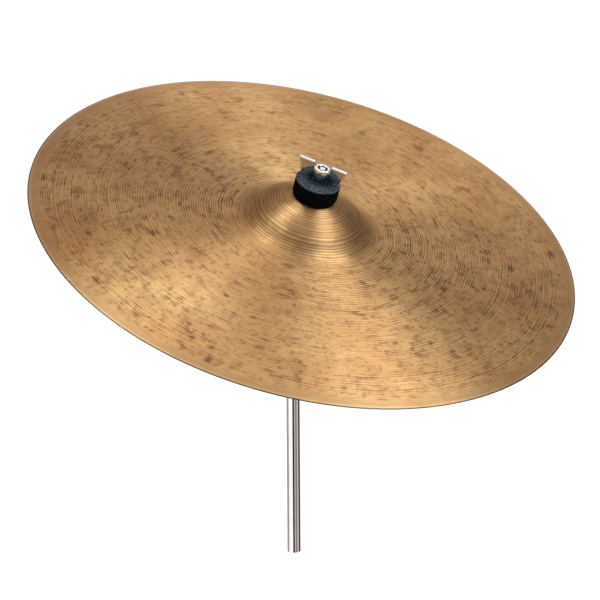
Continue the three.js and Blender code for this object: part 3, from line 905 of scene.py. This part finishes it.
# ---- Camera ----
def camera():
    """The photograph's viewing angle, distance and framing."""
    azimuth, elevation, roll = math.radians(-38.2154), math.radians(15.941), math.radians(-0.35)
    distance = 6.0
    pixels_per_radian = 6639.6
    side_pixels = 600
    sensor = 36.0
    flat = math.cos(elevation)
    back = Vector((math.sin(azimuth) * flat, -math.cos(azimuth) * flat, math.sin(elevation)))
    level = Vector((math.cos(azimuth), math.sin(azimuth), 0))
    upright = back.cross(level)
    right = level * math.cos(roll) + upright * math.sin(roll)
    up = upright * math.cos(roll) - level * math.sin(roll)
    rim_centre = ROD @ Vector((0, 0, RIM_HEIGHT * MM))
    place = rim_centre + back * distance
    # The cymbal sits above the middle of the picture, to leave room for the tube.
    aside, below = 0.0025, 0.0545
    middle = rim_centre - right * aside - up * below
    outward = (place - middle).normalized()
    right = (right - outward * right.dot(outward)).normalized()
    lens = bpy.data.cameras.new("camera")
    lens.sensor_width = sensor
    lens.lens = sensor * pixels_per_radian / side_pixels
    lens.clip_end = 100
    eye = bpy.data.objects.new("camera", lens)
    bpy.context.scene.collection.objects.link(eye)
    turn = Matrix((right, outward.cross(right), outward)).transposed().to_4x4()
    eye.matrix_world = Matrix.Translation(place) @ turn
    bpy.context.scene.camera = eye


# ---- Studio ----
CROWN = ROD @ Vector((0, 0, CROWN_HEIGHT * MM))


def about_rod(azimuth, elevation):
    """A direction, with azimuth counted from +X towards +Y about the rod, and elevation from the
    cymbal's own plane."""
    a, e = math.radians(azimuth), math.radians(elevation)
    return ROD.to_3x3() @ Vector((math.cos(a) * math.cos(e), math.sin(a) * math.cos(e), math.sin(e)))


def softbox(name, azimuth, elevation, width, height, power):
    """A cool white area light aimed at the crown."""
    distance = 1.9
    direction = about_rod(azimuth, elevation)
    light = bpy.data.lights.new(name, "AREA")
    light.shape = "RECTANGLE"
    light.size, light.size_y = width, height
    light.energy = power
    light.color = (0.83, 1.03, 1.11)
    lamp = bpy.data.objects.new(name, light)
    bpy.context.scene.collection.objects.link(lamp)
    lamp.location = CROWN + direction * distance
    lamp.rotation_mode = "QUATERNION"
    lamp.rotation_quaternion = direction.to_track_quat("Z", "Y")
    lamp.visible_camera = False


def floor():
    """A pale floor below the object. It is clear from underneath, so that the object shows."""
    mesh = bpy.data.meshes.new("floor")
    half, level = 15, -0.7
    corners = [(-half, -half, level), (half, -half, level), (half, half, level), (-half, half, level)]
    mesh.from_pydata(corners, [], [(0, 1, 2, 3)])
    ground = new_object("floor", mesh, Matrix.Identity(4))
    s = Shade("floor", roughness=0.9, emission_strength=0.75, emission_color=(1, 1, 1, 1))
    s.colour(s.blend(s.noise(s.position(), 400, detail=1.0), (0.86, 0.86, 0.86), (0.88, 0.88, 0.88)))
    clear = s.node("BsdfTransparent")
    choose = s.node("MixShader")
    s.feed(choose.inputs[0], s.node("NewGeometry").outputs["Backfacing"])
    s.feed(choose.inputs[1], s.shader.outputs[0])
    s.feed(choose.inputs[2], clear.outputs[0])
    s.feed(s.tree.nodes["Material Output"].inputs["Surface"], choose.outputs[0])
    mesh.materials.append(s.material)
    ground.visible_glossy = False


def surroundings():
    """White walls to the camera. Bare metal sees a studio instead: a soft grey dome, and below the
    horizon upright bands of wall, screen and dark room, which give the tube its streaks."""
    world = bpy.data.worlds.new("studio")
    bpy.context.scene.world = world
    world.use_nodes = True
    tree = world.node_tree
    tree.nodes.clear()

    def node(kind, **settings):
        made = tree.nodes.new(f"ShaderNode{kind}")
        for key, value in settings.items():
            setattr(made, key, value)
        return made

    def math_node(operation, first, second):
        made = node("Math", operation=operation)
        for socket, value in zip(made.inputs, (first, second)):
            if isinstance(value, bpy.types.NodeSocket):
                tree.links.new(value, socket)
            else:
                socket.default_value = value
        return made.outputs[0]

    def fade(made, stops):
        """Sets a colour ramp's places and colours."""
        ramp = made.color_ramp
        while len(ramp.elements) < len(stops):
            ramp.elements.new(0.5)
        for element, (place, *colour) in zip(ramp.elements, stops):
            element.position = place
            element.color = (*colour, 1)

    def step(value, low, high):
        """Runs smoothly from 0 to 1 as value goes from low to high."""
        made = node("MapRange", interpolation_type="SMOOTHSTEP")
        tree.links.new(value, made.inputs[0])
        made.inputs[1].default_value, made.inputs[2].default_value = low, high
        return made.outputs[0]

    split = node("SeparateXYZ")
    coordinates = node("TexCoord").outputs["Generated"]
    tree.links.new(coordinates, split.inputs[0])
    x, y, z = split.outputs

    # The bands, each a place round the room from 0 to 1 and a colour.
    first_band = math.radians(-128.2)
    turn = math_node("SUBTRACT", math_node("ARCTAN2", y, x), first_band)
    around = math_node("FRACT", math_node("ADD", math_node("DIVIDE", turn, 2 * math.pi), 1.0), 0.0)
    dark, screen, grey = (0.012, 0.008, 0.006), (1.2, 1.2, 1.2), (0.24, 0.21, 0.20)
    warm, brown, wall = (0.80, 0.70, 0.62), (0.06, 0.035, 0.02), (0.42, 0.37, 0.32)
    bands = node("ValToRGB")
    tree.links.new(around, bands.inputs[0])
    fade(bands, [
        (0.0, *dark), (0.035, *dark), (0.05, 0.62, 0.6, 0.6), (0.09, 0.55, 0.52, 0.52),
        (0.11, *grey), (0.175, *grey), (0.19, *warm), (0.245, *warm), (0.27, *brown), (0.40, *brown),
        (0.50, *wall), (0.75, *wall), (0.765, *screen), (0.955, *screen), (0.967, *dark),
    ])
    dome = node("ValToRGB")
    tree.links.new(z, dome.inputs[0])
    fade(dome, [(0.0, 0.05, 0.055, 0.07), (0.45, 0.20, 0.19, 0.185), (1.0, 0.57, 0.505, 0.44)])

    # A white card where the flat tops of the chrome nut reflect it. Its edge is given as a cosine.
    facing = node("VectorMath", operation="DOT_PRODUCT")
    tree.links.new(coordinates, facing.inputs[0])
    facing.inputs[1].default_value = about_rod(45, 33)
    carded = node("Mix", data_type="RGBA")
    tree.links.new(step(facing.outputs["Value"], 0.974, 0.990), carded.inputs[0])
    tree.links.new(dome.outputs[0], carded.inputs[6])
    carded.inputs[7].default_value = (1.1, 1.15, 1.2, 1)

    above_horizon = step(z, -0.08, 0.06)
    blend = node("Mix", data_type="RGBA")
    tree.links.new(above_horizon, blend.inputs[0])
    tree.links.new(bands.outputs[0], blend.inputs[6])
    tree.links.new(carded.outputs[2], blend.inputs[7])

    seen = node("Background")
    tree.links.new(blend.outputs[2], seen.inputs[0])
    white = node("Background")
    white.inputs[0].default_value = (1, 1, 1, 1)
    choose = node("MixShader")
    tree.links.new(node("LightPath").outputs["Is Camera Ray"], choose.inputs[0])
    tree.links.new(seen.outputs[0], choose.inputs[1])
    tree.links.new(white.outputs[0], choose.inputs[2])
    tree.links.new(choose.outputs[0], node("OutputWorld").inputs[0])


camera()
floor()
surroundings()
softbox("left_box", azimuth=119, elevation=60, width=0.65, height=0.9, power=10)
softbox("right_box", azimuth=-38, elevation=64, width=1.05, height=0.9, power=17)
softbox("top_box", azimuth=45, elevation=72, width=1.4, height=1.4, power=6.5)
bpy.context.scene.view_settings.view_transform = "Standard"
